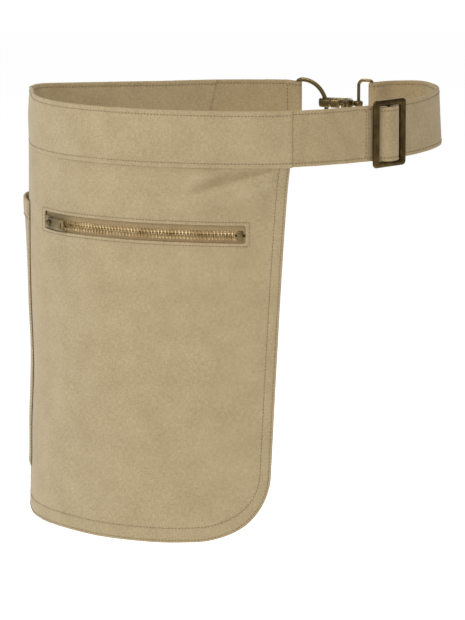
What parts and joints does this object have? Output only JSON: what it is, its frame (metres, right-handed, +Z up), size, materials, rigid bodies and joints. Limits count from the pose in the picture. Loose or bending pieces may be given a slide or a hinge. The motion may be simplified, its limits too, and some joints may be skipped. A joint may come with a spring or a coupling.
{
  "type": "waist apron",
  "caption": "Half apron of khaki twill in its worn form, with a waistband, hip panel, zip pocket, patch pocket and strap with slide adjuster and snap hook.",
  "frame": {"origin": "middle of the waist loop, at half the height of the waistband", "axes": "+Z up along the wearer's body, -Y towards the side with the zip pocket, +X towards the side with the slide adjuster"},
  "size_m": [0.3884, 0.2211, 0.395],
  "materials": {
    "twill": "matt khaki cotton twill with topstitching",
    "strap_twill": "matt khaki cotton twill, folded and stitched",
    "tape": "matt woven zip tape",
    "bright_brass": "satin",
    "old_brass": "antique satin",
    "dark_brass": "dark antique satin"
  },
  "bodies": {
    "apron": {"waistband": "twill", "panel": "twill", "hem_facing": "twill", "patch_pocket": "twill", "zip_pocket_bag": "twill", "strap": "strap_twill", "strap_extension": "strap_twill", "zip_tape_upper": "tape", "zip_tape_lower": "tape", "zip_teeth_upper": "bright_brass", "zip_teeth_lower": "bright_brass", "zip_stop": "old_brass", "zip_slider": "old_brass", "adjuster": "dark_brass", "d_ring": "old_brass", "rect_ring": "old_brass", "hook_body": "old_brass", "swivel_eye": "old_brass"},
    "pull": {"zip_pull": "old_brass"},
    "gate": {"hook_gate": "old_brass"}
  },
  "joints": [
    {"name": "pull_swing", "type": "hinge", "parent": "apron", "child": "pull", "pos_m": [-0.16629, -0.03251, -0.0858], "axis": [0, 0, -1], "range_deg": [0, 150]},
    {"name": "gate_hinge", "type": "hinge", "parent": "apron", "child": "gate", "pos_m": [0.10288, 0.08589, 0.0057], "axis": [0, 0, -1], "range_deg": [0, 28], "stiffness_Nm_per_rad": 0.01, "springref_deg": -20.05}
  ]
}
